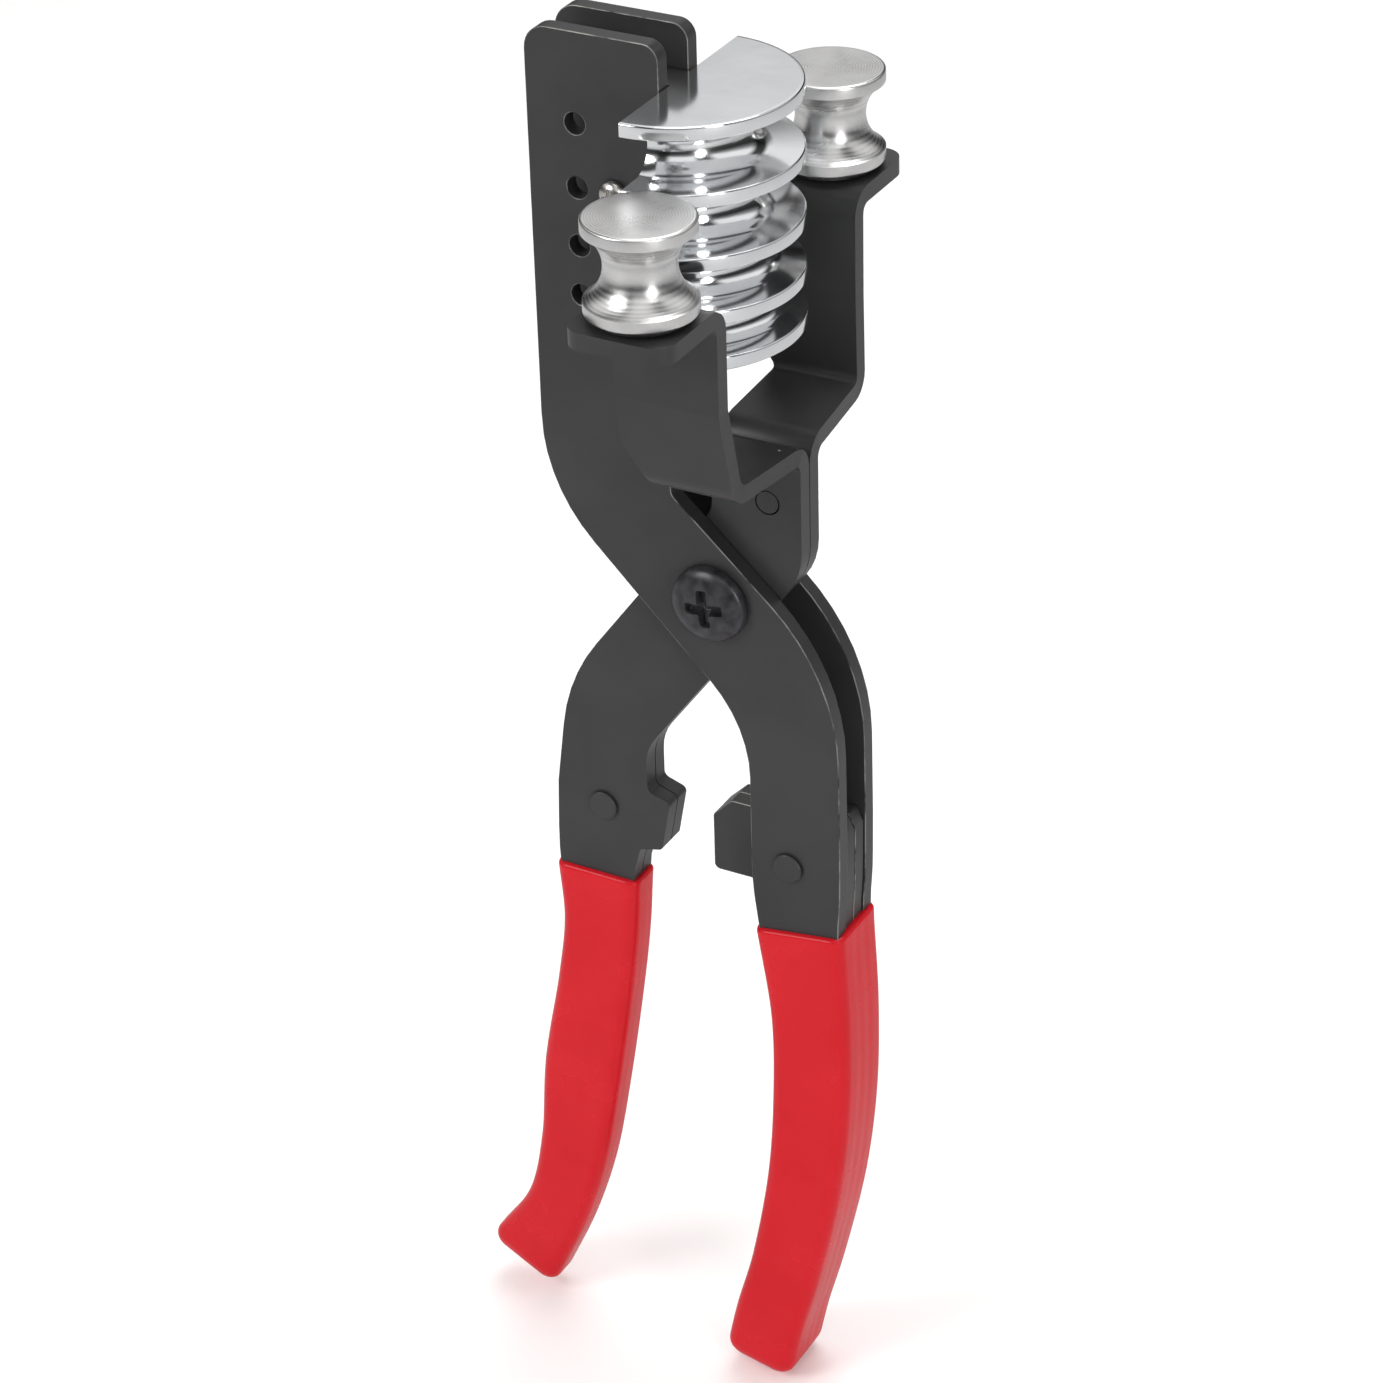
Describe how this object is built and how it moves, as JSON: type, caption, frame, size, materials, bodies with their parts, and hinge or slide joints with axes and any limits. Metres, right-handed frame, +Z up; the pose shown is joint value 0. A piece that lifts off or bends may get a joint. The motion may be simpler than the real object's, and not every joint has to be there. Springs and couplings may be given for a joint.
{
  "type": "tube bender pliers",
  "caption": "Plier-type hand tool: a half-round former with parallel grooves on one arm, a forked yoke with grooved rollers on the other, and dipped grips",
  "frame": {"origin": "middle of the overall box at the height of the handles' lowest point", "axes": "+Z up to the jaws, +X towards the rollers' side of the former, Y along the pivot axis with the pivot screw's head at -Y"},
  "size_m": [0.0848, 0.0914, 0.2843],
  "materials": {
    "black_paint": "satin black coating on steel plate",
    "chrome": "bright chrome plating",
    "turned_steel": "lathe-turned satin steel",
    "zinc": "bright zinc plating",
    "blackened_steel": "blackened satin steel",
    "red_vinyl": "glossy dipped vinyl"
  },
  "bodies": {
    "former_arm": {"former_arm_plate_front": "black_paint", "former_arm_plate_back": "black_paint", "former_arm_spacer_front": "black_paint", "former_arm_spacer_back": "black_paint", "former_arm_rivet": "black_paint", "former_arm_tail_rivet": "black_paint", "former_arm_grip": "red_vinyl", "bending_former": "chrome", "former_screw": "zinc", "former_nut": "zinc", "pivot_screw": "blackened_steel", "pivot_washer": "blackened_steel", "pivot_nut": "blackened_steel"},
    "roller_arm": {"roller_arm_plate_front": "black_paint", "roller_arm_plate_back": "black_paint", "roller_arm_rivet": "black_paint", "roller_arm_tail_rivet": "black_paint", "roller_arm_neck_rivet": "black_paint", "roller_arm_grip": "red_vinyl", "thrust_washer_front": "blackened_steel", "thrust_washer_back": "blackened_steel"},
    "roller_front": {"roller_front": "turned_steel", "roller_clip_front": "zinc"},
    "roller_back": {"roller_back": "turned_steel", "roller_clip_back": "zinc"}
  },
  "joints": [
    {"name": "pivot", "type": "hinge", "parent": "former_arm", "child": "roller_arm", "pos_m": [0.01512, 0, 0.17804], "axis": [0, 1, 0], "range_deg": [-10.4, 30]},
    {"name": "roller_front_spin", "type": "hinge", "parent": "roller_arm", "child": "roller_front", "pos_m": [0.01872, -0.0353, 0.25804], "axis": [0, 0, 1], "continuous": true},
    {"name": "roller_back_spin", "type": "hinge", "parent": "roller_arm", "child": "roller_back", "pos_m": [0.01872, 0.0353, 0.25804], "axis": [0, 0, 1], "continuous": true}
  ]
}
